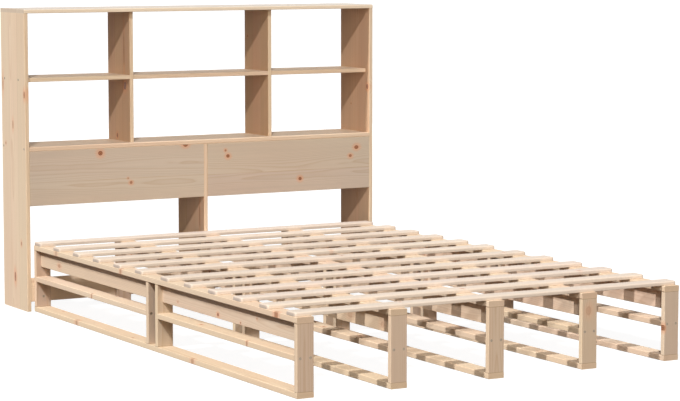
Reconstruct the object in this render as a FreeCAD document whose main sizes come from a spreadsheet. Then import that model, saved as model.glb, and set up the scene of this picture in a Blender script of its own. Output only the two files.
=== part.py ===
import FreeCAD, Part
import os
import re
import Sketcher

# A slatted pine bed on five low frames, with an open bookcase as its headboard.
# X runs across the bed, Y from the foot to the head, Z up from the floor.
# The origin is on the floor, in the middle of the whole plan.

SIZES = (
    # bed base
    ("bedWidth", 1400),  # mattress platform, across
    ("bedLength", 2000),  # foot face to the front of the bookcase
    ("boardWidth", 57),  # the one board section that all five frames are cut from
    ("boardThick", 18),
    ("frameSpacing", 350),  # centre frame to each inner frame
    ("postTop", 225),  # underside of the top planks
    ("midPlankBase", 111),
    ("beamTall", 60),
    ("moduleGap", 52),  # clear gap between the two middle posts of a frame
    ("slatWide", 57),
    ("slatThick", 13),
    ("slatPitch", 173),
    ("slatsPerHalf", 6),
    ("slatSetback", 14),  # foot face to the first slat
    ("slatCorner", 9),  # seen from above
    ("arris", 2),  # rounding of every long edge
    ("slatArris", 5),  # upper edges
    # bookcase
    ("caseWidth", 1455),
    ("caseTall", 1100),
    ("caseDeep", 225),
    ("shelfDeep", 195),  # upper shelves and upper dividers stop short of the front
    ("caseThick", 15),
    ("topNose", 5),  # rounding of the top board's front edge
    ("midShelfTop", 601),
    ("panelTall", 200),
    ("middleBay", 565),
    ("stretcherBase", 36),
    ("stretcherTall", 86),
    # dowels
    ("dowelWide", 8),
    ("dowelFit", 0.1),  # all round the dowel
    ("dowelRoom", 0.5),  # glue room past the dowel's end
    ("frameDowel", 30),
    ("frameDowelSunk", 12),  # length in the thinner face
    ("postDowelSpread", 15),  # from the middle of the board
    ("beamDowelSpread", 15),
    ("caseDowel", 24),
    ("caseDowelSunk", 9),
    ("caseDowelInset", 40),  # from the front and back of a board
    ("railDowelInset", 22),  # from the top and bottom of a panel or stretcher
    # screws
    ("screwWide", 4.5),
    ("screwFit", 0.1),
    ("screwHead", 9),
    ("screwTip", 6),
    ("screwSlot", 1.2),
    ("slotDeep", 1.4),
    ("frameScrew", 50),
    ("frameScrewSpread", 17.5),
    ("slatScrew", 25),
    ("slatScrewOffset", 19),  # from the middle of the plank, clear of the beam
    ("caseScrew", 45),
    ("upperShelfScrewInset", 32),
    ("midShelfScrewInset", 15),
    ("headScrew", 30),
    ("headScrewRise", 20),  # above the stretcher's lower edge, and below its upper one
)

document = FreeCAD.newDocument("BookcaseBed")
sheet = document.addObject("Spreadsheet::Sheet", "Sizes")
for row, (alias, number) in enumerate(SIZES, 1):
    sheet.set(f"A{row}", alias)
    sheet.set(f"B{row}", str(number))
    sheet.setAlias(f"B{row}", alias)
document.recompute()


def cell(rule):
    """The rule with the name of each size turned into its cell."""
    return re.sub(r"[A-Za-z]\w*", lambda word: "Sizes." + word.group(), rule)


def value(rule):
    return float(sheet.evalExpression(cell(rule)))


def bind(item, **rules):
    for name, rule in rules.items():
        item.setExpression(name, cell(rule))


def place(item, x, y, z):
    for axis, rule in zip("xyz", (x, y, z)):
        item.setExpression(f"Placement.Base.{axis}", cell(rule))


# Sketches ----------------------------------------------------------------------------------------

OUTWARD = {"XY_Plane": 1, "XZ_Plane": -1, "YZ_Plane": 1}


def new_sketch(body, role, level="0"):
    sketch = body.newObject("Sketcher::SketchObject", "Outline")
    plane = next(item for item in body.Origin.OriginFeatures if item.Role == role)
    sketch.AttachmentSupport = [(plane, "")]
    sketch.MapMode = "FlatFace"
    sketch.setExpression("AttachmentOffset.Base.z", cell(f"{OUTWARD[role]} * ({level})"))
    return sketch


def dimension(sketch, kind, *where):
    """One driven size of a sketch; the last argument is its rule."""
    rule = where[-1]
    number = sketch.addConstraint(Sketcher.Constraint(kind, *where[:-1], value(rule)))
    sketch.setExpression(f"Constraints[{number}]", cell(rule))


def rectangle(sketch, left, low, wide, tall):
    x, y = value(left), value(low)
    w, t = value(wide), value(tall)
    corners = [FreeCAD.Vector(*xy, 0) for xy in ((x, y), (x + w, y), (x + w, y + t), (x, y + t))]
    first = sketch.GeometryCount
    for start, end in zip(corners, corners[1:] + corners[:1]):
        sketch.addGeometry(Part.LineSegment(start, end), False)
    for side in range(4):
        following = first + (side + 1) % 4
        sketch.addConstraint(Sketcher.Constraint("Coincident", first + side, 2, following, 1))
        flat = "Horizontal" if side % 2 == 0 else "Vertical"
        sketch.addConstraint(Sketcher.Constraint(flat, first + side))
    dimension(sketch, "DistanceX", -1, 1, first, 1, left)
    dimension(sketch, "DistanceY", -1, 1, first, 1, low)
    dimension(sketch, "DistanceX", first, 1, first, 2, wide)
    dimension(sketch, "DistanceY", first + 1, 1, first + 1, 2, tall)


def circles(sketch, spots, diameter):
    for across, up in spots:
        centre = FreeCAD.Vector(value(across), value(up), 0)
        number = sketch.addGeometry(Part.Circle(centre, FreeCAD.Vector(0, 0, 1), value(diameter) / 2), False)
        dimension(sketch, "DistanceX", -1, 1, number, 3, across)
        dimension(sketch, "DistanceY", -1, 1, number, 3, up)
        dimension(sketch, "Diameter", number, diameter)


# Boards ------------------------------------------------------------------------------------------

parts = []


def slabs(label, outlines, tall, corner):
    """A body of boards standing on its own XY plane, each outline (left, low, wide, deep)."""
    body = document.addObject("PartDesign::Body", label)
    body.Label = label
    body.AllowCompound = True
    sketch = new_sketch(body, "XY_Plane")
    for outline in outlines:
        rectangle(sketch, *outline)
    pad = body.newObject("PartDesign::Pad", "Board")
    pad.Profile = sketch
    bind(pad, Length=tall)
    place(body, *corner)
    parts.append(body)
    return body


def runs_along(axis):
    """Picks straight edges that lie along one axis."""
    direction = {"x": FreeCAD.Vector(1, 0, 0), "y": FreeCAD.Vector(0, 1, 0), "z": FreeCAD.Vector(0, 0, 1)}[axis]

    def picked(edge):
        return edge.Curve.TypeId == "Part::GeomLine" and edge.Curve.Direction.cross(direction).Length < 1e-6

    return picked


def lies_at(axis, level):
    """Picks edges that lie wholly at one level of an axis."""

    def picked(edge):
        box = edge.BoundBox
        low, high = {"x": (box.XMin, box.XMax), "y": (box.YMin, box.YMax), "z": (box.ZMin, box.ZMax)}[axis]
        return abs(low - level) < 0.01 and abs(high - level) < 0.01

    return picked


def dress(body, kind, size, picked):
    """Rounds or chamfers the picked edges of the body as it stands."""
    document.recompute()
    base = body.Tip
    names = [f"Edge{number}" for number, edge in enumerate(base.Shape.Edges, 1) if picked(edge)]
    feature = body.newObject(kind, "Dressed")
    feature.Base = (base, names)
    feature.setExpression("Radius" if kind.endswith("Fillet") else "Size", cell(size))
    return feature


def ease(body, axis, radius="arris"):
    dress(body, "PartDesign::Fillet", radius, runs_along(axis))


DRILLED = {"XY_Plane": -1, "XZ_Plane": 1, "YZ_Plane": -1}


def drill(body, role, level, sense, spots, diameter, deep):
    """Holes that start at a level of the body and run along (1) or against (-1) the axis."""
    sketch = new_sketch(body, role, level)
    circles(sketch, spots, diameter)
    pocket = body.newObject("PartDesign::Pocket", "Holes")
    pocket.Profile = sketch
    pocket.Reversed = sense != DRILLED[role]
    bind(pocket, Length=deep)


def countersink(body, axis, levels):
    """Sinks the mouths of the screw holes that open at these levels."""
    radius = value(SCREW_HOLE) / 2
    faces = [value(level) for level in levels]

    def picked(edge):
        round_edge = edge.Curve.TypeId == "Part::GeomCircle" and abs(edge.Curve.Radius - radius) < 1e-6
        return round_edge and any(lies_at(axis, face)(edge) for face in faces)

    dress(body, "PartDesign::Chamfer", HEAD_DEEP, picked)


DOWEL_HOLE = "dowelWide + 2 * dowelFit"
SCREW_HOLE = "screwWide + 2 * screwFit"
HEAD_DEEP = "(screwHead - screwWide) / 2"

# Places that the pieces share ----------------------------------------------------------------------

FOOT = "(0 - (bedLength + caseDeep) / 2)"
CASE_FRONT = f"({FOOT} + bedLength)"
POST_TALL = "(postTop - boardThick)"
DECK = "(postTop + boardThick)"
MIDDLE = "boardWidth / 2"

FRAMES = {
    "left_outer": "0 - bedWidth / 2",
    "left_inner": "0 - frameSpacing - boardWidth / 2",
    "centre": "0 - boardWidth / 2",
    "right_inner": "frameSpacing - boardWidth / 2",
    "right_outer": "bedWidth / 2 - boardWidth",
}
BOLTED = ("left_outer", "left_inner", "right_inner", "right_outer")  # frames that meet a stretcher

# Each frame's posts, from the foot: where one starts, and the side that its mid plank lies on.
POSTS = (
    ("0", 1),
    ("(bedLength - moduleGap) / 2 - boardThick", -1),
    ("(bedLength + moduleGap) / 2", 1),
    ("bedLength - boardThick", -1),
)
# The two bays of a frame, between its posts: where each starts and ends.
BAYS = (
    ("boardThick", "(bedLength - moduleGap) / 2 - boardThick"),
    ("(bedLength + moduleGap) / 2 + boardThick", "bedLength - boardThick"),
)


def post_face(start, side):
    """The face of a post that its mid plank and beam butt against."""
    return f"({start}) + boardThick" if side == 1 else start


def post_back(start, side):
    """The face that the screws go in by."""
    return start if side == 1 else f"({start}) + boardThick"


POST_DOWELS = [
    (f"{MIDDLE} + {hand} * postDowelSpread", f"({start}) + boardThick / 2")
    for start, _ in POSTS
    for hand in (-1, 1)
]
BEAM_DOWELS = [
    (MIDDLE, f"postTop - beamTall / 2 + {hand} * beamDowelSpread") for hand in (-1, 1)
]
MID_SCREWS = [
    (f"{MIDDLE} + {hand} * frameScrewSpread", "midPlankBase + boardThick / 2") for hand in (-1, 1)
]
HEAD_SCREW_LEVELS = ("stretcherBase + headScrewRise", "stretcherBase + stretcherTall - headScrewRise")
HEAD_SCREWS = [(MIDDLE, level) for level in HEAD_SCREW_LEVELS]

# The foot half's slats start just behind the foot face, and the head half's end at the bookcase.
HEAD_HALF = "(bedLength - slatWide - (slatsPerHalf - 1) * slatPitch)"
SLATS = []
for number in range(int(value("slatsPerHalf"))):
    SLATS.append((f"foot_slat_{number + 1}", f"slatSetback + {number} * slatPitch"))
for number in range(int(value("slatsPerHalf"))):
    SLATS.append((f"head_slat_{number + 1}", f"{HEAD_HALF} + {number} * slatPitch"))


def lowered(spots, by):
    """The same spots, seen from a body that stands higher."""
    return [(across, f"{up} - ({by})") for across, up in spots]


# Bed base ----------------------------------------------------------------------------------------


def bottom_plank(name, left):
    body = slabs(
        f"{name}_bottom_plank", [("0", "0", "boardWidth", "bedLength")], "boardThick", (left, FOOT, "0")
    )
    ease(body, "y")
    drill(body, "XY_Plane", "boardThick", -1, POST_DOWELS, DOWEL_HOLE, "frameDowelSunk + dowelRoom")


def top_plank(name, left):
    body = slabs(
        f"{name}_top_plank", [("0", "0", "boardWidth", "bedLength")], "boardThick", (left, FOOT, "postTop")
    )
    ease(body, "y")
    drill(body, "XY_Plane", "0", 1, POST_DOWELS, DOWEL_HOLE, "frameDowelSunk + dowelRoom")
    screws = [(f"{MIDDLE} + slatScrewOffset", f"{start} + slatWide / 2") for _, start in SLATS]
    drill(body, "XY_Plane", "0", 1, screws, SCREW_HOLE, "boardThick")
    countersink(body, "z", ["0"])


def posts(name, left):
    outlines = [("0", start, "boardWidth", "boardThick") for start, _ in POSTS]
    body = slabs(f"{name}_posts", outlines, POST_TALL, (left, FOOT, "boardThick"))
    ease(body, "z")
    sunk = "frameDowel - frameDowelSunk + dowelRoom"
    drill(body, "XY_Plane", "0", 1, POST_DOWELS, DOWEL_HOLE, sunk)
    drill(body, "XY_Plane", POST_TALL, -1, POST_DOWELS, DOWEL_HOLE, sunk)
    for start, side in POSTS:
        spots = lowered(BEAM_DOWELS, "boardThick")
        drill(body, "XZ_Plane", post_face(start, side), -side, spots, DOWEL_HOLE, "frameDowelSunk + dowelRoom")
    drill(body, "XZ_Plane", "0", 1, lowered(MID_SCREWS, "boardThick"), SCREW_HOLE, "bedLength")
    countersink(body, "y", [post_back(start, side) for start, side in POSTS])
    if name in BOLTED:
        start, side = POSTS[-1]
        spots = lowered(HEAD_SCREWS, "boardThick")
        drill(body, "XZ_Plane", post_face(start, side), 1, spots, SCREW_HOLE, "boardThick")
        countersink(body, "y", [post_face(start, side)])


def bay_outlines(left, wide):
    return [(left, start, wide, f"{end} - ({start})") for start, end in BAYS]


def mid_planks(name, left):
    body = slabs(
        f"{name}_mid_planks", bay_outlines("0", "boardWidth"), "boardThick", (left, FOOT, "midPlankBase")
    )
    ease(body, "y")
    spots = lowered(MID_SCREWS, "midPlankBase")
    for start, side in POSTS:
        drill(body, "XZ_Plane", post_face(start, side), side, spots, SCREW_HOLE, "frameScrew - boardThick")


def beams(name, left):
    outlines = bay_outlines("(boardWidth - boardThick) / 2", "boardThick")
    body = slabs(f"{name}_beams", outlines, "beamTall", (left, FOOT, "postTop - beamTall"))
    ease(body, "y")
    spots = lowered(BEAM_DOWELS, "postTop - beamTall")
    for start, side in POSTS:
        sunk = "frameDowel - frameDowelSunk + dowelRoom"
        drill(body, "XZ_Plane", post_face(start, side), side, spots, DOWEL_HOLE, sunk)


def slat(label, start):
    body = slabs(
        label, [("0", "0", "bedWidth", "slatWide")], "slatThick", ("0 - bedWidth / 2", f"{FOOT} + {start}", DECK)
    )
    ease(body, "z", "slatCorner")
    dress(body, "PartDesign::Fillet", "slatArris", lies_at("z", value("slatThick")))
    dress(body, "PartDesign::Fillet", "arris", lies_at("z", 0))
    spots = [
        (f"{left} + bedWidth / 2 + {MIDDLE} + slatScrewOffset", "slatWide / 2") for left in FRAMES.values()
    ]
    drill(body, "XY_Plane", "0", 1, spots, SCREW_HOLE, "slatScrew - boardThick")


# Bookcase ----------------------------------------------------------------------------------------

INNER_LEFT = "(caseThick - caseWidth / 2)"
INNER_WIDTH = "(caseWidth - 2 * caseThick)"
SIDE_TALL = "(caseTall - caseThick)"
SETBACK = "(caseDeep - shelfDeep)"
DIVIDER_LEFT = "(0 - middleBay / 2 - caseThick)"
DIVIDER_RIGHT = "(middleBay / 2)"
SIDE_BAY = "((caseWidth - middleBay) / 2 - 2 * caseThick)"
HALF_BAY = "((caseWidth - 3 * caseThick) / 2)"
MID_SHELF_BASE = "(midShelfTop - caseThick)"
PANEL_BASE = f"({MID_SHELF_BASE} - panelTall)"
UPPER_SHELF_BASE = f"((midShelfTop + {SIDE_TALL} - caseThick) / 2)"
THROUGH_DOWEL = "(3 * caseThick)"
CASE_SHORT = "caseDowelSunk + dowelRoom"
CASE_LONG = "caseDowel - caseDowelSunk + dowelRoom"
BOARD_MIDDLE = "caseThick / 2"

DEEP_DOWELS = ("caseDowelInset", "caseDeep - caseDowelInset")
SHELF_DOWELS = ("caseDowelInset", "shelfDeep - caseDowelInset")
PANEL_DOWELS = (f"{PANEL_BASE} + railDowelInset", f"{PANEL_BASE} + panelTall - railDowelInset")
STRETCHER_DOWELS = ("stretcherBase + railDowelInset", "stretcherBase + stretcherTall - railDowelInset")
MID_SHELF_SCREWS = ("midShelfScrewInset", "caseDeep - midShelfScrewInset")
UPPER_SHELF_SCREWS = ("upperShelfScrewInset", "shelfDeep - upperShelfScrewInset")


def side_panel(label, left, outer, inward):
    """An upright of the bookcase; outer is the level of its outer face, and inward the way in."""
    body = slabs(label, [("0", "0", "caseThick", "caseDeep")], SIDE_TALL, (left, CASE_FRONT, "0"))
    ease(body, "z")
    screws = [(y, f"{MID_SHELF_BASE} + {BOARD_MIDDLE}") for y in MID_SHELF_SCREWS]
    screws += [(f"{SETBACK} + {y}", f"{UPPER_SHELF_BASE} + {BOARD_MIDDLE}") for y in UPPER_SHELF_SCREWS]
    drill(body, "YZ_Plane", outer, inward, screws, SCREW_HOLE, "caseThick")
    countersink(body, "x", [outer])
    inner = "caseThick" if inward == 1 else "0"
    rails = [(BOARD_MIDDLE, level) for level in PANEL_DOWELS + STRETCHER_DOWELS]
    drill(body, "YZ_Plane", inner, -inward, rails, DOWEL_HOLE, CASE_SHORT)
    drill(body, "XY_Plane", SIDE_TALL, -1, [(BOARD_MIDDLE, y) for y in DEEP_DOWELS], DOWEL_HOLE, CASE_LONG)


def top_panel():
    body = slabs(
        "top_panel",
        [("0", "0", "caseWidth", "caseDeep")],
        "caseThick",
        ("0 - caseWidth / 2", CASE_FRONT, SIDE_TALL),
    )
    thick = value("caseThick")

    def nose(edge):
        return runs_along("x")(edge) and lies_at("y", 0)(edge) and lies_at("z", thick)(edge)

    dress(body, "PartDesign::Fillet", "arris", lambda edge: runs_along("x")(edge) and not nose(edge))
    dress(body, "PartDesign::Fillet", "topNose", nose)
    spots = [(x, y) for x in (BOARD_MIDDLE, f"caseWidth - {BOARD_MIDDLE}") for y in DEEP_DOWELS]
    for left in (DIVIDER_LEFT, DIVIDER_RIGHT):
        spots += [(f"{left} + {BOARD_MIDDLE} + caseWidth / 2", f"{SETBACK} + {y}") for y in SHELF_DOWELS]
    drill(body, "XY_Plane", "0", 1, spots, DOWEL_HOLE, CASE_SHORT)


def middle_shelf():
    body = slabs(
        "middle_shelf",
        [("0", "0", INNER_WIDTH, "caseDeep")],
        "caseThick",
        (INNER_LEFT, CASE_FRONT, MID_SHELF_BASE),
    )
    ease(body, "x")
    ends = [(y, BOARD_MIDDLE) for y in MID_SHELF_SCREWS]
    drill(body, "YZ_Plane", "0", 1, ends, SCREW_HOLE, "caseScrew - caseThick")
    drill(body, "YZ_Plane", INNER_WIDTH, -1, ends, SCREW_HOLE, "caseScrew - caseThick")
    above = []
    for left in (DIVIDER_LEFT, DIVIDER_RIGHT):
        above += [(f"{left} + {BOARD_MIDDLE} - {INNER_LEFT}", f"{SETBACK} + {y}") for y in SHELF_DOWELS]
    drill(body, "XY_Plane", "caseThick", -1, above, DOWEL_HOLE, CASE_SHORT)
    below = [(f"{INNER_WIDTH} / 2", y) for y in DEEP_DOWELS]
    drill(body, "XY_Plane", "0", 1, below, DOWEL_HOLE, CASE_SHORT)


def centre_divider():
    body = slabs(
        "centre_divider",
        [("0", "0", "caseThick", "caseDeep")],
        MID_SHELF_BASE,
        (f"0 - {BOARD_MIDDLE}", CASE_FRONT, "0"),
    )
    ease(body, "z")
    drill(body, "XY_Plane", MID_SHELF_BASE, -1, [(BOARD_MIDDLE, y) for y in DEEP_DOWELS], DOWEL_HOLE, CASE_LONG)
    rails = [(BOARD_MIDDLE, level) for level in PANEL_DOWELS + STRETCHER_DOWELS]
    drill(body, "YZ_Plane", "0", 1, rails, DOWEL_HOLE, "caseThick")


def upper_divider(label, left):
    tall = f"{SIDE_TALL} - midShelfTop"
    body = slabs(
        label,
        [("0", "0", "caseThick", "shelfDeep")],
        tall,
        (left, f"{CASE_FRONT} + {SETBACK}", "midShelfTop"),
    )
    ease(body, "z")
    ends = [(BOARD_MIDDLE, y) for y in SHELF_DOWELS]
    drill(body, "XY_Plane", "0", 1, ends, DOWEL_HOLE, CASE_LONG)
    drill(body, "XY_Plane", tall, -1, ends, DOWEL_HOLE, CASE_LONG)
    level = f"{UPPER_SHELF_BASE} + {BOARD_MIDDLE} - midShelfTop"
    drill(body, "YZ_Plane", "0", 1, [(y, level) for y in SHELF_DOWELS], DOWEL_HOLE, "caseThick")


def upper_shelf(label, left, wide, screwed):
    """A shelf between uprights; screwed is -1 or 1 for the end held by a side panel, or 0."""
    body = slabs(
        label,
        [("0", "0", wide, "shelfDeep")],
        "caseThick",
        (left, f"{CASE_FRONT} + {SETBACK}", UPPER_SHELF_BASE),
    )
    ease(body, "x")
    for end, level in ((-1, "0"), (1, wide)):
        if end == screwed:
            spots = [(y, BOARD_MIDDLE) for y in UPPER_SHELF_SCREWS]
            drill(body, "YZ_Plane", level, -end, spots, SCREW_HOLE, "caseScrew - caseThick")
        else:
            spots = [(y, BOARD_MIDDLE) for y in SHELF_DOWELS]
            drill(body, "YZ_Plane", level, -end, spots, DOWEL_HOLE, "caseThick + dowelRoom")


def rail(label, left, base, tall, levels, outer_end):
    """A board between a side panel and the centre divider, flush with the front."""
    body = slabs(label, [("0", "0", HALF_BAY, "caseThick")], tall, (left, CASE_FRONT, base))
    ease(body, "x")
    spots = [(BOARD_MIDDLE, f"{level} - {base}") for level in levels]
    for end, level in ((-1, "0"), (1, HALF_BAY)):
        sunk = CASE_LONG if end == outer_end else "caseThick + dowelRoom"
        drill(body, "YZ_Plane", level, -end, spots, DOWEL_HOLE, sunk)
    return body


def stretcher(label, left, outer_end, frames):
    body = rail(label, left, "stretcherBase", "stretcherTall", STRETCHER_DOWELS, outer_end)
    spots = [
        (f"{FRAMES[name]} + {across} - ({left})", f"{up} - stretcherBase")
        for name in frames
        for across, up in HEAD_SCREWS
    ]
    drill(body, "XZ_Plane", "0", 1, spots, SCREW_HOLE, "headScrew - boardThick")


# Dowels and screws -------------------------------------------------------------------------------


def dowel(label, long):
    """A plain dowel that starts at its own origin and runs up Z."""
    pin = document.addObject("Part::Cylinder", label)
    bind(pin, Radius="dowelWide / 2", Height=long)
    return pin


def screw(label, long):
    """A countersunk wood screw, its head's face on its own XY plane and its tip up Z."""
    head = document.addObject("Part::Cone", label + "_head")
    bind(head, Radius1="screwHead / 2", Radius2="screwWide / 2", Height=HEAD_DEEP)
    shank = document.addObject("Part::Cylinder", label + "_shank")
    bind(shank, Radius="screwWide / 2", Height=f"{long} - screwTip")
    tip = document.addObject("Part::Cone", label + "_tip")
    bind(tip, Radius1="screwWide / 2", Radius2="screwWide / 10", Height="screwTip")
    place(tip, "0", "0", f"{long} - screwTip")
    whole = document.addObject("Part::MultiFuse", label + "_blank")
    whole.Shapes = [head, shank, tip]
    slots = []
    for turn, (long_way, short_way) in enumerate((("Length", "Width"), ("Width", "Length"))):
        slot = document.addObject("Part::Box", f"{label}_slot_{turn}")
        slot.setExpression(long_way, cell("screwWide"))
        slot.setExpression(short_way, cell("screwSlot"))
        bind(slot, Height="2 * slotDeep")
        halves = ("0 - screwWide / 2", "0 - screwSlot / 2")
        place(slot, *(halves if turn == 0 else halves[::-1]), "0 - slotDeep")
        slots.append(slot)
    cross = document.addObject("Part::MultiFuse", label + "_cross")
    cross.Shapes = slots
    cut = document.addObject("Part::Cut", label)
    cut.Base = whole
    cut.Tool = cross
    return cut


TURNS = {
    ("z", 1): FreeCAD.Rotation(),
    ("z", -1): FreeCAD.Rotation(FreeCAD.Vector(1, 0, 0), 180),
    ("y", 1): FreeCAD.Rotation(FreeCAD.Vector(1, 0, 0), -90),
    ("y", -1): FreeCAD.Rotation(FreeCAD.Vector(1, 0, 0), 90),
    ("x", 1): FreeCAD.Rotation(FreeCAD.Vector(0, 1, 0), 90),
    ("x", -1): FreeCAD.Rotation(FreeCAD.Vector(0, 1, 0), -90),
}


def fasteners(label, pattern, places):
    """A group of like fasteners, each place ((x, y, z), axis, sense)."""
    links = []
    for spot, axis, sense in places:
        link = document.addObject("App::Link", label + "_piece")
        link.LinkedObject = pattern
        link.Placement = FreeCAD.Placement(FreeCAD.Vector(), TURNS[axis, sense])
        place(link, *spot)
        links.append(link)
    group = document.addObject("Part::Compound", label)
    group.Label = label
    group.Links = links
    parts.append(group)


def frame_dowels():
    places = []
    for left in FRAMES.values():
        for across, along in POST_DOWELS:
            x, y = f"{left} + {across}", f"{FOOT} + {along}"
            places.append(((x, y, "boardThick - frameDowelSunk"), "z", 1))
            places.append(((x, y, "postTop + frameDowelSunk"), "z", -1))
        for start, side in POSTS:
            end = f"{FOOT} + {post_face(start, side)} - {side} * frameDowelSunk"
            places += [((f"{left} + {across}", end, up), "y", side) for across, up in BEAM_DOWELS]
    fasteners("frame_dowels", dowel("frame_dowel", "frameDowel"), places)


def mid_plank_screws():
    places = []
    for left in FRAMES.values():
        for start, side in POSTS:
            face = f"{FOOT} + {post_back(start, side)}"
            places += [((f"{left} + {across}", face, up), "y", side) for across, up in MID_SCREWS]
    fasteners("mid_plank_screws", screw("frame_screw", "frameScrew"), places)


def slat_screws():
    places = []
    for left in FRAMES.values():
        x = f"{left} + {MIDDLE} + slatScrewOffset"
        places += [((x, f"{FOOT} + {start} + slatWide / 2", "postTop"), "z", 1) for _, start in SLATS]
    fasteners("slat_screws", screw("slat_screw", "slatScrew"), places)


def headboard_screws():
    start, side = POSTS[-1]
    face = f"{FOOT} + {post_face(start, side)}"
    places = [
        ((f"{FRAMES[name]} + {across}", face, up), "y", 1) for name in BOLTED for across, up in HEAD_SCREWS
    ]
    fasteners("headboard_screws", screw("head_screw", "headScrew"), places)


def shelf_screws():
    places = []
    for hand in (-1, 1):
        x = f"{hand} * caseWidth / 2"
        level = f"{MID_SHELF_BASE} + {BOARD_MIDDLE}"
        places += [((x, f"{CASE_FRONT} + {y}", level), "x", -hand) for y in MID_SHELF_SCREWS]
        level = f"{UPPER_SHELF_BASE} + {BOARD_MIDDLE}"
        places += [((x, f"{CASE_FRONT} + {SETBACK} + {y}", level), "x", -hand) for y in UPPER_SHELF_SCREWS]
    fasteners("shelf_screws", screw("case_screw", "caseScrew"), places)


def case_dowels():
    places = []
    for hand in (-1, 1):
        x = f"{hand} * (caseWidth - caseThick) / 2"
        under = f"{SIDE_TALL} + caseDowelSunk"
        places += [((x, f"{CASE_FRONT} + {y}", under), "z", -1) for y in DEEP_DOWELS]
        inner = f"{hand} * ({INNER_WIDTH} / 2 + caseDowelSunk)"
        y = f"{CASE_FRONT} + {BOARD_MIDDLE}"
        places += [((inner, y, level), "x", -hand) for level in PANEL_DOWELS + STRETCHER_DOWELS]
        x = f"{hand} * (middleBay + caseThick) / 2"
        for y in SHELF_DOWELS:
            along = f"{CASE_FRONT} + {SETBACK} + {y}"
            places.append(((x, along, under), "z", -1))
            places.append(((x, along, "midShelfTop - caseDowelSunk"), "z", 1))
    under = f"{MID_SHELF_BASE} + caseDowelSunk"
    places += [(("0", f"{CASE_FRONT} + {y}", under), "z", -1) for y in DEEP_DOWELS]
    fasteners("case_dowels", dowel("case_dowel", "caseDowel"), places)


def through_dowels():
    y = f"{CASE_FRONT} + {BOARD_MIDDLE}"
    left = f"0 - {THROUGH_DOWEL} / 2"
    places = [((left, y, level), "x", 1) for level in PANEL_DOWELS + STRETCHER_DOWELS]
    level = f"{UPPER_SHELF_BASE} + {BOARD_MIDDLE}"
    for hand in (-1, 1):
        x = f"{hand} * (middleBay + caseThick) / 2 - {THROUGH_DOWEL} / 2"
        places += [((x, f"{CASE_FRONT} + {SETBACK} + {y}", level), "x", 1) for y in SHELF_DOWELS]
    fasteners("through_dowels", dowel("through_dowel", THROUGH_DOWEL), places)


# The bed -----------------------------------------------------------------------------------------

for name, left in FRAMES.items():
    bottom_plank(name, left)
    posts(name, left)
    mid_planks(name, left)
    beams(name, left)
    top_plank(name, left)
for label, start in SLATS:
    slat(label, start)

side_panel("left_side_panel", "0 - caseWidth / 2", "0", 1)
side_panel("right_side_panel", "caseWidth / 2 - caseThick", "caseThick", -1)
top_panel()
middle_shelf()
centre_divider()
upper_divider("left_upper_divider", DIVIDER_LEFT)
upper_divider("right_upper_divider", DIVIDER_RIGHT)
upper_shelf("left_upper_shelf", INNER_LEFT, SIDE_BAY, -1)
upper_shelf("middle_upper_shelf", "0 - middleBay / 2", "middleBay", 0)
upper_shelf("right_upper_shelf", "middleBay / 2 + caseThick", SIDE_BAY, 1)
rail("left_headboard_panel", INNER_LEFT, PANEL_BASE, "panelTall", PANEL_DOWELS, -1)
rail("right_headboard_panel", BOARD_MIDDLE, PANEL_BASE, "panelTall", PANEL_DOWELS, 1)
stretcher("left_stretcher", INNER_LEFT, -1, BOLTED[:2])
stretcher("right_stretcher", BOARD_MIDDLE, 1, BOLTED[2:])

frame_dowels()
mid_plank_screws()
slat_screws()
headboard_screws()
shelf_screws()
case_dowels()
through_dowels()

# Checks and files --------------------------------------------------------------------------------

document.recompute()
for item in document.Objects:
    if {"Invalid", "Error"} & set(item.State):
        raise RuntimeError(f"{item.Label} failed: {item.State}")
for item in parts:
    if item.Shape.isNull() or not item.Shape.isValid():
        raise RuntimeError(f"{item.Label} has no sound shape")

os.makedirs("parts", exist_ok=True)
for item in parts:
    item.Shape.exportStep(os.path.join("parts", item.Label + ".step"))
whole = Part.makeCompound([item.Shape for item in parts])
solids = sum(len(item.Shape.Solids) for item in parts)
box = whole.BoundBox
print(f"{len(parts)} parts, {solids} solids, {box.XLength:.1f} x {box.YLength:.1f} x {box.ZLength:.1f} mm")
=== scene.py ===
import math
import random

import bpy
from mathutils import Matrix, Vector


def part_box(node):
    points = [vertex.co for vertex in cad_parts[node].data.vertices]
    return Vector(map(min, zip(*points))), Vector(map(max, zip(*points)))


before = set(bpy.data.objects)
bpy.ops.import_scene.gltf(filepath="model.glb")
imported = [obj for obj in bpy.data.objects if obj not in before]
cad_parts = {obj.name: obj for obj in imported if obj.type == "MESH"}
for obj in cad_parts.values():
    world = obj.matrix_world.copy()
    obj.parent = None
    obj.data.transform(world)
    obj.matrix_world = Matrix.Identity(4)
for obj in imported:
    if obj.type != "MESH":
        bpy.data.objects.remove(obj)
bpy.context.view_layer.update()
print("frame loaded,", len(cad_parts), "nodes")

mm = 0.001
axisNumber = {"x": 0, "y": 1, "z": 2}


def hexTone(code):
    # an sRGB colour such as e4caa8, as the linear values that the shaders take
    parts = [int(code[k:k + 2], 16) / 255 for k in (0, 2, 4)]
    return tuple(p / 12.92 if p <= 0.04045 else ((p + 0.055) / 1.055) ** 2.4 for p in parts) + (1.0,)


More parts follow.
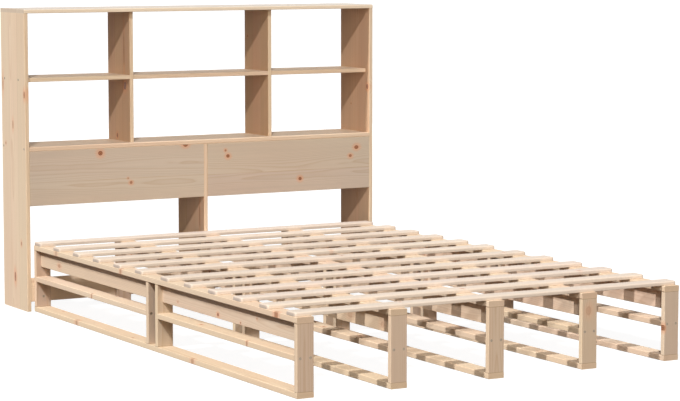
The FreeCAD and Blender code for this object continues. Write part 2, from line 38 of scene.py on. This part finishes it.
class Wire:
    # a socket of a node tree, so that shader maths can be written as expressions
    def __init__(self, shader, socket):
        self.shader = shader
        self.socket = socket

    def maths(self, operation, *values):
        return self.shader.node("Math", {"operation": operation}, dict(enumerate((self, *values))))

    def after(self, operation, value):
        return self.shader.node("Math", {"operation": operation}, {0: value, 1: self})

    def output(self, name):
        return Wire(self.shader, self.socket.node.outputs[name])

    def __add__(self, other):
        return self.maths("ADD", other)

    def __sub__(self, other):
        return self.maths("SUBTRACT", other)

    def __mul__(self, other):
        return self.maths("MULTIPLY", other)

    def __truediv__(self, other):
        return self.maths("DIVIDE", other)

    def __gt__(self, other):
        return self.maths("GREATER_THAN", other)

    def __radd__(self, other):
        return self.after("ADD", other)

    def __rsub__(self, other):
        return self.after("SUBTRACT", other)

    def __rmul__(self, other):
        return self.after("MULTIPLY", other)

    def __rtruediv__(self, other):
        return self.after("DIVIDE", other)

    def __abs__(self):
        return self.maths("ABSOLUTE")


class Shader:
    # the node tree of one material, or of the world
    def __init__(self, owner):
        owner.use_nodes = True
        self.tree = owner.node_tree
        self.tree.nodes.clear()

    def node(self, kind, settings=None, inputs=None, output=0):
        made = self.tree.nodes.new("ShaderNode" + kind)
        for name, value in (settings or {}).items():
            if name == "stops":
                self.fillRamp(made.color_ramp, value)
            else:
                setattr(made, name, value)
        for name, value in (inputs or {}).items():
            if isinstance(value, Wire):
                self.tree.links.new(value.socket, made.inputs[name])
            else:
                made.inputs[name].default_value = value
        return Wire(self, made.outputs[output]) if made.outputs else None

    def fillRamp(self, ramp, stops):
        while len(ramp.elements) < len(stops):
            ramp.elements.new(1.0)
        for element, (place, level) in zip(ramp.elements, stops):
            element.position = place
            element.color = (level, level, level, 1.0)

    def mix(self, amount, first, second, mode="MIX"):
        settings = {"data_type": "RGBA", "blend_type": mode}
        return self.node("Mix", settings, {0: amount, 6: first, 7: second}, 2)

    def rise(self, value, start, end, low=0.0, high=1.0):
        # a smooth step from low to high as the value goes from start to end
        settings = {"interpolation_type": "SMOOTHSTEP"}
        return self.node("MapRange", settings, {0: value, 1: start, 2: end, 3: low, 4: high})

    def noise(self, x, y, z, detail=2.0, rough=0.5):
        spot = self.node("CombineXYZ", {}, {0: x, 1: y, 2: z})
        return self.node("TexNoise", {}, {"Vector": spot, "Scale": 1.0, "Detail": detail, "Roughness": rough})

    def split(self, kind, output):
        # the three parts of a vector that a node gives
        parts = self.node("SeparateXYZ", {}, {0: self.node(kind, {}, {}, output)})
        return [parts.output(k) for k in range(3)]


def newShader(name):
    material = bpy.data.materials.new(name)
    return material, Shader(material)


camera = {
    "place": (-4.1236, -7.3982, 1.3399),  # metres
    "turn": 29.59,  # degrees, from looking along +Y towards +X
    "tip": 5.987,  # degrees below level
    "lens": 130.32,  # mm
    "sensor": 36.0,  # mm
    "reach": 1000.0,
}


def makeCamera():
    lens = bpy.data.cameras.new("camera")
    lens.lens = camera["lens"]
    lens.sensor_width = camera["sensor"]
    lens.clip_end = camera["reach"]
    viewer = bpy.data.objects.new("camera", lens)
    viewer.location = camera["place"]
    viewer.rotation_euler = (math.radians(90 - camera["tip"]), 0.0, math.radians(-camera["turn"]))
    bpy.context.scene.collection.objects.link(viewer)
    bpy.context.scene.camera = viewer
    bpy.context.scene.view_settings.view_transform = "Standard"
    print("camera made")


# way: the way the light travels; degrees: how wide the sun is, for the softness of its shadows
suns = {
    "keyLight": {"way": (0.69, 0.03, -0.72), "strength": 3.0, "degrees": 1.8},
    "slantLight": {"way": (0.42, 0.69, -0.59), "strength": 1.8, "degrees": 3.0},
}
sunTint = (0.98, 1.0, 1.02)

# the back one is so low that it hardly touches the faces seen from the front
softboxes = {
    "frontLight": {"place": (-2.2, -10.0, 4.0), "watts": 560.0},
    "backLight": {"place": (2.5, 9.0, 0.9), "watts": 170.0},
}
softbox = {
    "wide": 8.0,
    "tall": 4.0,
    "aimedAt": (0.0, 0.0, 0.4),
    "tint": (1.05, 0.98, 0.86),
}


def addLamp(name, kind, energy, way, **settings):
    lamp = bpy.data.lights.new(name, kind)
    lamp.energy = energy
    for key, value in settings.items():
        setattr(lamp, key, value)
    thing = bpy.data.objects.new(name, lamp)
    thing.rotation_euler = Vector(way).to_track_quat("-Z", "Y").to_euler()
    bpy.context.scene.collection.objects.link(thing)
    return thing


def makeLamps():
    for name, facts in suns.items():
        addLamp(name, "SUN", facts["strength"], facts["way"],
                angle=math.radians(facts["degrees"]), color=sunTint)
    for name, facts in softboxes.items():
        way = Vector(softbox["aimedAt"]) - Vector(facts["place"])
        lamp = addLamp(name, "AREA", facts["watts"], way, shape="RECTANGLE",
                       size=softbox["wide"], size_y=softbox["tall"], color=softbox["tint"])
        lamp.location = facts["place"]
    print(len(suns) + len(softboxes), "lamps made")


air = {
    "seen": (1.0, 1.0, 1.0, 1.0),
    "light": (1.0, 0.5, 0.25, 1.0),
    "strength": 0.035,
}


def seenRays(shader):
    # 1 for rays that show the background: straight to the lens, by a gloss or through glass
    path = shader.node("LightPath")
    other = path.output("Is Glossy Ray").maths("MAXIMUM", path.output("Is Transmission Ray"))
    return path.output("Is Camera Ray").maths("MAXIMUM", other)


def makeWorld():
    world = bpy.data.worlds.new("studio")
    bpy.context.scene.world = world
    sky = Shader(world)
    white = sky.node("Background", {}, {"Color": air["seen"], "Strength": 1.0})
    dim = sky.node("Background", {}, {"Color": air["light"], "Strength": air["strength"]})
    whole = sky.node("MixShader", {}, {0: seenRays(sky), 1: dim, 2: white})
    sky.node("OutputWorld", {}, {"Surface": whole})
    print("world made")


floor = {
    "reach": 400.0,
    "drop": 0.4 * mm,
    "white": (1.0, 1.0, 1.0, 1.0),
    "glow": 0.93,  # how much of its white it gives by itself, so that the shadow stays faint
    "paint": (0.2, 0.2, 0.2, 1.0),
    "bounce": (0.07, 0.045, 0.03, 1.0),  # what it throws back at the bed
}


def makeFloor():
    reach = floor["reach"]
    corners = [(-reach, -reach, 0), (reach, -reach, 0), (reach, reach, 0), (-reach, reach, 0)]
    mesh = bpy.data.meshes.new("floor")
    mesh.from_pydata(corners, [], [(0, 1, 2, 3)])
    ground = bpy.data.objects.new("floor", mesh)
    ground.location.z = -floor["drop"]
    bpy.context.scene.collection.objects.link(ground)

    material, paint = newShader("white floor")
    bounce = paint.node("BsdfDiffuse", {}, {"Color": floor["bounce"]})
    matt = paint.node("BsdfDiffuse", {}, {"Color": floor["paint"]})
    lit = paint.node("Emission", {}, {"Color": floor["white"], "Strength": floor["glow"]})
    shown = paint.node("AddShader", {}, {0: matt, 1: lit})
    whole = paint.node("MixShader", {}, {0: seenRays(paint), 1: bounce, 2: shown})
    paint.node("OutputMaterial", {}, {"Surface": whole})
    ground.data.materials.append(material)
    print("floor made")


def solidBoxes(node):
    # the boxes of the separate boards that one node holds, lowest Y first
    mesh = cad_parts[node].data
    group = list(range(len(mesh.vertices)))

    def root(k):
        while group[k] != k:
            group[k] = group[group[k]]
            k = group[k]
        return k

    byPlace = {}
    for vertex in mesh.vertices:
        spot = tuple(round(c, 6) for c in vertex.co)  # to a thousandth of a millimetre
        group[vertex.index] = byPlace.setdefault(spot, vertex.index)
    for edge in mesh.edges:
        first, second = root(edge.vertices[0]), root(edge.vertices[1])
        group[second] = first
    boxes = {}
    for vertex in mesh.vertices:
        low, high = boxes.setdefault(root(vertex.index), (list(vertex.co), list(vertex.co)))
        for k in range(3):
            low[k] = min(low[k], vertex.co[k])
            high[k] = max(high[k], vertex.co[k])
    return sorted(boxes.values(), key=lambda box: box[0][1])


def nearEdge(places, boxes):
    # distance from a point on a board's face to the nearest edge of that board
    depths = []
    for k in range(3):
        centres = sorted({round((low[k] + high[k]) / 2, 4) for low, high in boxes})  # to 0.1 mm
        half = (boxes[0][1][k] - boxes[0][0][k]) / 2
        off = abs(places[k] - centres[0])
        for centre in centres[1:]:
            off = off.maths("MINIMUM", abs(places[k] - centre))
        depths.append(half - off)
    first, second, third = depths
    lower = first.maths("MINIMUM", second)
    upper = first.maths("MAXIMUM", second)
    return lower.maths("MAXIMUM", upper.maths("MINIMUM", third))


# noise in the wood: waves to the metre along and across the board, octaves, share of the finer ones
figure = {
    "wander": (5.0, 26.0, 2.0, 0.5),  # bends single rings
    "drift": (1.1, 9.0, 1.0, 0.5),  # slow change over a whole board
    "thread": (9.0, 1 / (0.35 * mm), 3.0, 0.65),  # single fibres
    "ray": (2.2, 95.0, 2.0, 0.6),  # streaks
}
# how far the noise of one board lies from the next one's
apart = {
    "seed": 3.7,
    "wander": 9.0,
    "drift": 7.0,
    "strip": 1.37,
    "draw": 0.731,
}


def figureNoise(wood, spot, name, slides):
    alongRate, acrossRate, detail, rough = figure[name]
    moved = []
    for place, rate, slide in zip(spot, (alongRate, acrossRate, acrossRate), slides):
        moved.append(place * rate if slide is None else place * rate + slide)
    return wood.noise(*moved, detail, rough)


def boardChances(wood, places, boxes, strips, dice, seed):
    # three numbers from 0 to 1: each board of a group, and each glued strip of a wide board,
    # comes from another part of a tree
    cuts = [((before[1][1] + after[0][1]) / 2, 1) for before, after in zip(boxes, boxes[1:])] + strips
    if not cuts:
        return [dice.random() for k in range(3)]
    number = None
    for cut, axis in cuts:
        more = (places[axis] > cut) * apart["strip"]
        number = more if number is None else number + more
    draw = number + seed * apart["draw"]
    white = wood.node("TexWhiteNoise", {"noise_dimensions": "1D"}, {"W": draw}, "Color")
    parts = wood.node("SeparateXYZ", {}, {0: white})
    return [parts.output(k) for k in range(3)]


# reaches in radii of the knot
knotShape = {
    "bendReach": 2.4,  # how far it pushes the grain aside
    "bend": 0.82,
    "even": 0.55,
    "uneven": 0.9,  # how far its outline wanders
    "core": (0.8, 1.12),
    "halo": (0.9, 3.0),
    "haloGain": 1.2,
    "rings": 11.0,
}
strayKnot = {
    "fromEnd": 0.02,  # metres
    "across": (0.1, 0.9),  # share of the width
    "radius": (2.5, 5.5),  # mm
    "stretch": (1.0, 1.5),
    "darkness": (0.35, 0.9),
}


def strayKnots(dice, length, width, perMetre):
    # a few small knots at random along a board
    lowest, highest = strayKnot["across"]
    knots = []
    for number in range(int(length * perMetre + dice.random())):
        knots.append((
            dice.uniform(strayKnot["fromEnd"], length - strayKnot["fromEnd"]) / mm,
            dice.uniform(lowest, highest) * width / mm,
            dice.uniform(*strayKnot["radius"]),
            dice.uniform(*strayKnot["stretch"]),
            dice.uniform(*strayKnot["darkness"]),
        ))
    return knots


def knotMarks(wood, along, across, wander, knots):
    # how the knots push the grain aside, and their core, rings and halo
    bent, core, rings, halo = across, None, None, None
    for centreAlong, centreAcross, radius, stretch, darkness in knots:
        u = (along - centreAlong) / stretch
        v = across - centreAcross
        square = u * u + v * v
        near = (square * (-1 / (knotShape["bendReach"] * radius) ** 2)).maths("EXPONENT")
        bent = bent - v * near * knotShape["bend"]
        reach = square.maths("SQRT") * (wander * knotShape["uneven"] + knotShape["even"]) / radius
        thisCore = wood.rise(reach, *knotShape["core"], darkness, 0.0)
        thisHalo = wood.rise(reach, *knotShape["halo"], min(1.0, darkness * knotShape["haloGain"]), 0.0)
        thisRing = (reach * knotShape["rings"]).maths("SINE")
        core = thisCore if core is None else core.maths("MAXIMUM", thisCore)
        halo = thisHalo if halo is None else halo.maths("MAXIMUM", thisHalo)
        rings = thisRing * thisCore if rings is None else rings + thisRing * thisCore
    return bent, core, rings, halo


treeRings = {
    "year": 3.4 * mm,
    "shape": [(0.0, 0.25), (0.07, 0.0), (0.5, 0.12), (0.8, 0.6), (0.94, 1.0), (1.0, 0.25)],
    "heartDeep": (22 * mm, 60 * mm),  # how far the heart of the tree lies from the board
    "heartSide": 50 * mm,
    "lean": 0.012,  # sideways drift of the heart along the board
    "wander": 4 * mm,
    "drift": 30 * mm,
    "yearDrift": 1.5,  # years
}


def yearRings(wood, along, deep, sideways, wander, drift, chances, dice):
    # from the distance to the heart of the tree: 0 in the spring wood, 1 in the dark summer wood
    first, second, third = chances
    nearest, farthest = treeRings["heartDeep"]
    lean = treeRings["lean"] * (dice.random() - 0.5) * 2
    deep = deep + nearest + first * (farthest - nearest)
    sideways = sideways + (second - 0.5) * (2 * treeRings["heartSide"]) + along * lean
    radius = (deep * deep + sideways * sideways).maths("SQRT")
    radius = radius + (wander - 0.5) * treeRings["wander"] + (drift - 0.5) * treeRings["drift"]
    years = radius / treeRings["year"] + (drift - 0.5) * treeRings["yearDrift"]
    return wood.node("ValToRGB", {"stops": treeRings["shape"]}, {0: years.maths("FRACT")})


pine = {
    "spring": hexTone("e0cab1"),  # the wide pale part of a year's ring
    "summer": hexTone("c4a07c"),  # its narrow dark part
    "pink": hexTone("ddc0a8"),
    "yellow": hexTone("dec8a4"),
    "pale": hexTone("f0e2cf"),
    "halo": hexTone("d9946a"),  # flushed wood round a knot
    "knot": hexTone("a0623c"),
    "knotDark": hexTone("5c3019"),
    "endGrain": hexTone("bdb3b0"),
    "glue": hexTone("a98560"),
    # painted shade in the seam where a post meets the planks
    "joint": hexTone("6e4a2e"),
}
# how strongly each mark shows in the colour, and where it starts and ends
marks = {
    "pinkDrift": (0.3, 0.7),
    "yellow": 0.55,
    "rings": 0.45,
    "ringRays": (0.6, 0.8),  # rings fade where the rays are weak
    "thread": 0.16,
    "ray": 0.16,
    "lightness": (0.965, 0.05),  # of all boards, and from board to board
    "wideFace": (0.4, 0.8),
    "halo": 0.5,
    "knotRings": (-0.3, 0.9),
    "glueLine": (0.2 * mm, 0.9 * mm, 0.6),
    "gluePatches": (0.3, 0.6, 0.5, 1.0),
    "cutFace": (0.5, 0.9),
    "cutEnd": 0.8,
    "cutShade": 0.6,
    "endShadeBand": (1.0 * mm, 2.8 * mm, 0.55),
    # the width and strength of the painted highlight along the edges
    "edgeBand": 3.5 * mm,
    "edge": 0.35,
}
skin = {
    "rough": 0.68,
    "roughRings": 0.1,
    "roughThread": 0.2,
    "roughEdge": 0.08,
    "roughKnot": 0.2,
    "highThread": 0.5,
    "highRings": 0.35,
    "highRay": 0.3,
    "highKnot": 0.6,
    "bump": 0.35,
    "relief": 0.25 * mm,
    "gloss": 1.45,  # index of refraction
}


def makePine(node, grain, flat, seed, seams=(), knots=(), stray=0.0,
             tint=(1, 1, 1), pale=0.0, shadedEnds=False, dyed=False):
    # grain: the axis that the fibres follow; flat: the axis square to the wide face
    # seams: glue joints, mm across the board; knots: mm along, mm across, radius, stretch, darkness
    # stray: more knots, to the metre; pale: share of the palest tone; a flag adds painted shade lines at the
    # ends, in the seams where a post meets the planks
    # tint: of the wide faces, or of every face where dyed; for the posts and the uprights inside the case it
    # is partly painted shade on those faces
    dice = random.Random(seed)
    boxes = solidBoxes(node)
    low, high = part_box(node)
    side = ({"x", "y", "z"} - {grain, flat}).pop()
    g, f, s = axisNumber[grain], axisNumber[flat], axisNumber[side]
    seams = [low[s] + seam * mm for seam in seams]
    knots = list(knots) + strayKnots(dice, high[g] - low[g], high[s] - low[s], stray)
    knots = [(low[g] + a * mm, low[s] + c * mm, r * mm, stretch, dark) for a, c, r, stretch, dark in knots]

    material, wood = newShader("pine " + node.replace("_", " "))
    places = wood.split("TexCoord", "Object")
    along, through, across = places[g], places[f], places[s]
    chances = boardChances(wood, places, boxes, [(seam, s) for seam in seams], dice, seed)
    first, second, third = chances

    shift = seed * apart["seed"]
    spot = (along, across, through)
    wander = figureNoise(wood, spot, "wander", (shift, None, first * apart["wander"]))
    drift = figureNoise(wood, spot, "drift", (shift, second * apart["drift"], None))
    thread = figureNoise(wood, spot, "thread", (shift, None, None))
    ray = figureNoise(wood, spot, "ray", (None, shift, None))
    bent, core, knotRings, halo = knotMarks(wood, along, across, wander, knots)
    middle = (low[s] + high[s]) / 2
    summer = yearRings(wood, along, through - low[f], bent - middle, wander, drift, chances, dice)
    if core is not None:
        summer = summer * (1 - core)

    # colour, from the whole board down to its threads
    tone = wood.mix(wood.rise(drift, *marks["pinkDrift"]), pine["spring"], pine["pink"])
    tone = wood.mix(third * marks["yellow"], tone, pine["yellow"])
    least, more = marks["ringRays"]
    tone = wood.mix(summer * marks["rings"] * (least + more * ray), tone, pine["summer"])
    if pale:
        tone = wood.mix(pale, tone, pine["pale"])
    lightness, spread = marks["lightness"]
    shade = (thread - 0.5) * marks["thread"] + (ray - 0.5) * marks["ray"] + lightness + spread * first
    facing = wood.split("NewGeometry", "Normal")
    # the tint goes on the wide faces only, so where it holds painted shade only those faces are darkened
    wide = 1.0 if dyed else wood.rise(abs(facing[f]), *marks["wideFace"])
    shades = {k: shade * (1 + wide * (tint[k] - 1)) for k in range(3)}
    tone = wood.mix(1.0, tone, wood.node("CombineXYZ", {}, shades), "MULTIPLY")

    if halo is not None:
        tone = wood.mix(halo * marks["halo"], tone, pine["halo"])
        inner = wood.mix(wood.rise(knotRings, *marks["knotRings"]), pine["knot"], pine["knotDark"])
        tone = wood.mix(core, tone, inner)
    for seam in seams:
        line = wood.rise(abs(across - seam), *marks["glueLine"], 0.0)
        tone = wood.mix(line * wood.rise(wander, *marks["gluePatches"]), tone, pine["glue"])
    cutEnd = wood.rise(abs(facing[g]), *marks["cutFace"]) * marks["cutEnd"]
    tone = wood.mix(cutEnd, tone, wood.mix(marks["cutShade"], tone, pine["endGrain"], "MULTIPLY"))
    # painted shade: dark lines at the board's ends, in the seams where the posts meet the planks
    if shadedEnds:
        toEnd = (along - low[g]).maths("MINIMUM", high[g] - along)
        tone = wood.mix(wood.rise(toEnd, *marks["endShadeBand"], 0.0), tone, pine["joint"])
    # a lighter, yellower band along each edge: painted highlight where the rounded arris catches the light;
    # the same band also makes the edges a little smoother
    edge = wood.rise(nearEdge(places, boxes), 0.0, marks["edgeBand"], 1.0, 0.0)
    tone = wood.mix(edge * (ray * marks["edge"]), tone, pine["yellow"])

    rough = skin["rough"] - summer * skin["roughRings"]
    rough = rough + (thread - 0.5) * skin["roughThread"] - edge * skin["roughEdge"]
    height = thread * skin["highThread"] - summer * skin["highRings"] + ray * skin["highRay"]
    if core is not None:
        rough = rough - core * skin["roughKnot"]
        height = height + core * skin["highKnot"]
    bump = wood.node("Bump", {}, {"Strength": skin["bump"], "Distance": skin["relief"], "Height": height})
    surface = wood.node("BsdfPrincipled", {}, {
        "Base Color": tone, "Roughness": rough, "Normal": bump, "IOR": skin["gloss"],
    })
    wood.node("OutputMaterial", {}, {"Surface": surface})
    return material


beech = {
    "pale": hexTone("d9b48c"),
    "dark": hexTone("b98a60"),
    "fleck": (900.0, 900.0, 260.0),  # to the metre
    "fleckEdge": (0.45, 0.7),
    "rough": (0.5, 0.2),
    "bump": 0.3,
    "relief": 0.2 * mm,
}


def makeBeech():
    material, wood = newShader("beech dowel")
    places = wood.split("TexCoord", "Object")
    fleck = wood.noise(*(place * rate for place, rate in zip(places, beech["fleck"])), 2.0)
    tone = wood.mix(wood.rise(fleck, *beech["fleckEdge"]), beech["pale"], beech["dark"])
    least, more = beech["rough"]
    bump = wood.node("Bump", {}, {"Strength": beech["bump"], "Distance": beech["relief"], "Height": fleck})
    surface = wood.node("BsdfPrincipled", {}, {
        "Base Color": tone, "Roughness": least + fleck * more, "Normal": bump,
    })
    wood.node("OutputMaterial", {}, {"Surface": surface})
    return material


steel = {
    "light": hexTone("b3a594"),
    "dark": hexTone("8a7c6c"),
    "cloud": 700.0,  # to the metre
    "cloudEdge": (0.3, 0.7),
    "scratch": (4000.0, 4000.0, 500.0),
    "rough": (0.28, 0.25),
    "bump": 0.2,
    "relief": 0.1 * mm,
}


def makeSteel():
    material, zinc = newShader("zinc plated screw")
    places = zinc.split("TexCoord", "Object")
    cloud = zinc.noise(*(place * steel["cloud"] for place in places), 3.0)
    scratch = zinc.noise(*(place * rate for place, rate in zip(places, steel["scratch"])), 1.0)
    tone = zinc.mix(zinc.rise(cloud, *steel["cloudEdge"]), steel["light"], steel["dark"])
    least, more = steel["rough"]
    bump = zinc.node("Bump", {}, {"Strength": steel["bump"], "Distance": steel["relief"], "Height": scratch})
    surface = zinc.node("BsdfPrincipled", {}, {
        "Base Color": tone, "Metallic": 1.0, "Roughness": least + cloud * more, "Normal": bump,
    })
    zinc.node("OutputMaterial", {}, {"Surface": surface})
    return material


# tints of single kinds of board, for the wide faces; the tints of the uprights inside the case and of the
# posts are partly painted shade
# partly the boards' own warmer tone and partly painted shade: the wide faces of the uprights inside the case
# are made darker and warmer, as the shade and reflected light inside the case would make them
innerTintAndShade = (0.91, 0.755, 0.645)
darkInnerTintAndShade = (0.82, 0.67, 0.55)
headboardTint = (0.75, 0.79, 0.9)
topTint = (0.75, 0.8, 0.9)
# partly the posts' own darker tone and partly painted shade: only their wide front and back faces are
# darkened, while their narrow sides, lit by the key light, are not
postTintAndShade = (0.73, 0.72, 0.75)
beamTint = (0.93, 0.91, 0.92)
slatTint = (0.84, 0.86, 0.94)

shelf = dict(grain="x", flat="z", seams=(65, 130), stray=0.8)

caseBoards = {
    "left_side_panel": dict(grain="z", flat="x", seams=(72, 148), stray=0.6, knots=[
        (791, 7, 6, 2.6, 0.95), (676, 118, 5, 3.2, 0.6), (824, 210, 4, 6.0, 0.6),
        (245, 51, 4, 1.6, 0.7), (117, 114, 7, 2.8, 0.9)]),
    "right_side_panel": dict(grain="z", flat="x", tint=innerTintAndShade, seams=(80, 150), stray=0.8, knots=[
        (780, 15, 8, 1.2, 0.9)]),
    "top_panel": dict(grain="x", flat="z", pale=0.5, tint=topTint, seams=(75, 150), stray=0.8),
    "middle_shelf": dict(grain="x", flat="z", seams=(70, 145), stray=0.8),
    "centre_divider": dict(grain="z", flat="x", tint=innerTintAndShade, seams=(78, 150), stray=0.7, knots=[
        (305, 40, 5, 9.0, 0.6)]),
    "left_upper_divider": dict(grain="z", flat="x", tint=innerTintAndShade, seams=(66, 130), stray=0.5, knots=[
        (340, 50, 5, 14.0, 0.6), (208, 43, 11, 1.3, 0.9), (18, 115, 6, 1.3, 0.9)]),
    "right_upper_divider": dict(grain="z", flat="x", tint=darkInnerTintAndShade, seams=(60, 128), stray=1.0),
    "left_upper_shelf": shelf,
    "middle_upper_shelf": shelf,
    "right_upper_shelf": shelf,
    "left_headboard_panel": dict(grain="x", flat="y", tint=headboardTint, seams=(84,), knots=[
        (280, 182, 9, 1.05, 0.95), (628, 199, 8, 1.3, 0.95),
        (403, 68, 6, 1.0, 0.75), (391, 84, 4, 1.0, 0.55)]),
    "right_headboard_panel": dict(grain="x", flat="y", tint=headboardTint, seams=(82,), knots=[
        (76, 171, 5, 1.0, 0.75), (86, 150, 7, 1.1, 0.95), (397, 49, 7, 1.1, 0.95),
        (620, 128, 6, 1.2, 0.8), (647, 160, 8, 1.2, 0.9)]),
    "left_stretcher": dict(grain="x", flat="y", stray=1.5),
    "right_stretcher": dict(grain="x", flat="y", stray=1.5),
}

frameBoards = {
    "bottom_plank": dict(grain="y", flat="z", stray=1.6),
    "posts": dict(grain="z", flat="y", shadedEnds=True, tint=postTintAndShade),
    "mid_planks": dict(grain="y", flat="z", stray=1.6),
    "beams": dict(grain="y", flat="x", stray=1.6, tint=beamTint),
    "top_plank": dict(grain="y", flat="z", stray=1.2),
}

frameKnots = {
    "left_outer_top_plank": [(1245, 2, 5, 1.3, 0.6), (1796, 3, 6, 1.8, 0.35), (130, 2, 8, 1.5, 0.8)],
    "left_outer_beams": [(1796, 22, 7, 1.6, 0.5), (535, 13, 6, 1.2, 0.95)],
    "left_outer_mid_planks": [(1469, 3, 4, 1.0, 0.8), (302, 2, 4, 1.2, 0.7)],
    "left_outer_bottom_plank": [(1620, 4, 7, 1.6, 0.5), (698, 3, 5, 1.8, 0.5)],
    "left_inner_beams": [(262, 24, 10, 1.6, 0.25), (64, 20, 11, 1.3, 0.3)],
    "right_inner_posts": [(168, 24, 9, 1.5, 0.3)],
    "right_outer_posts": [(90, 0, 4.5, 2.2, 0.9)],
}

frameNames = ("left_outer", "left_inner", "centre", "right_inner", "right_outer")

slats = {
    "halves": ("foot", "head"),
    "perHalf": 6,
    "board": dict(grain="x", flat="z", stray=1.0, pale=0.45, tint=slatTint, dyed=True),
}


def boardList():
    # each board's node and its facts, in the order that gives them their seeds
    yield from caseBoards.items()
    for name in frameNames:
        for board, facts in frameBoards.items():
            node = f"{name}_{board}"
            yield node, dict(facts, knots=frameKnots.get(node, ()))
    for half in slats["halves"]:
        for number in range(1, slats["perHalf"] + 1):
            yield f"{half}_slat_{number}", slats["board"]


def dress(node, material):
    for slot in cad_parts[node].material_slots:
        slot.material = material


def dressBoards():
    firstSeed = 11
    for seed, (node, facts) in enumerate(boardList(), firstSeed):
        dress(node, makePine(node, seed=seed, **facts))
    print("boards dressed")


dowelNodes = ("frame_dowels", "case_dowels", "through_dowels")
screwNodes = ("mid_plank_screws", "slat_screws", "headboard_screws", "shelf_screws")


def dressFasteners():
    for nodes, material in ((dowelNodes, makeBeech()), (screwNodes, makeSteel())):
        for node in nodes:
            dress(node, material)
    print("fasteners dressed")


makeCamera()
makeLamps()
makeWorld()
makeFloor()
dressBoards()
dressFasteners()
